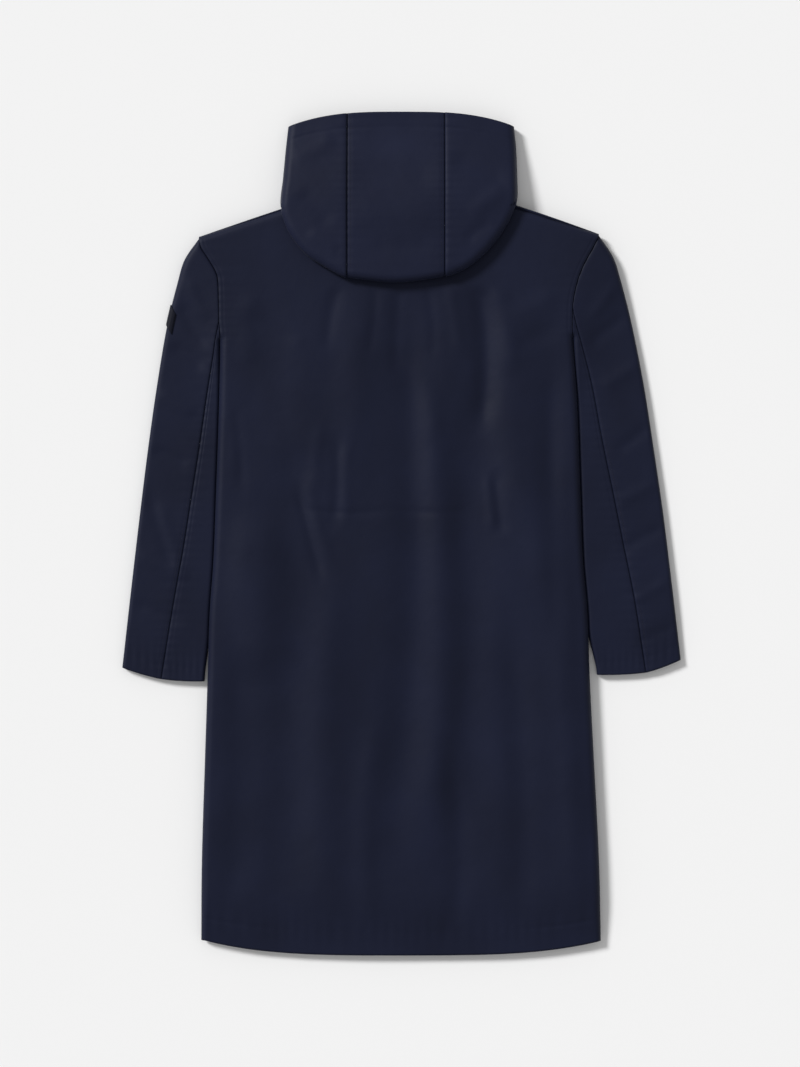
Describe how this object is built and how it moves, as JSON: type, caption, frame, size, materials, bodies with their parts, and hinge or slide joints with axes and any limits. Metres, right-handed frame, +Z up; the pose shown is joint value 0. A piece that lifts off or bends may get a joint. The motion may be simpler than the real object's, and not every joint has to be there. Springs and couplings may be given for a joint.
{
  "type": "hooded parka laid flat",
  "caption": "Knee-length hooded parka lying flat on its front, back up, with its hood folded down.",
  "frame": {"origin": "on the surface the coat lies on, below the centre of its outline", "axes": "+Y along the centre back towards the hood, +X towards the right of the back, +Z up from the surface"},
  "size_m": [0.778, 1.172, 0.038],
  "materials": {
    "shell": "matte coated woven cloth",
    "trim": "matte plain woven cloth"
  },
  "bodies": {
    "root": {"back": "shell", "front_left": "shell", "front_right": "shell", "front_placket": "trim", "sleeve_left_upper": "shell", "sleeve_left_under": "shell", "sleeve_right_upper": "shell", "sleeve_right_under": "shell", "sleeve_patch": "trim", "hood_centre": "shell", "hood_side_left": "shell", "hood_side_right": "shell"}
  },
  "joints": []
}
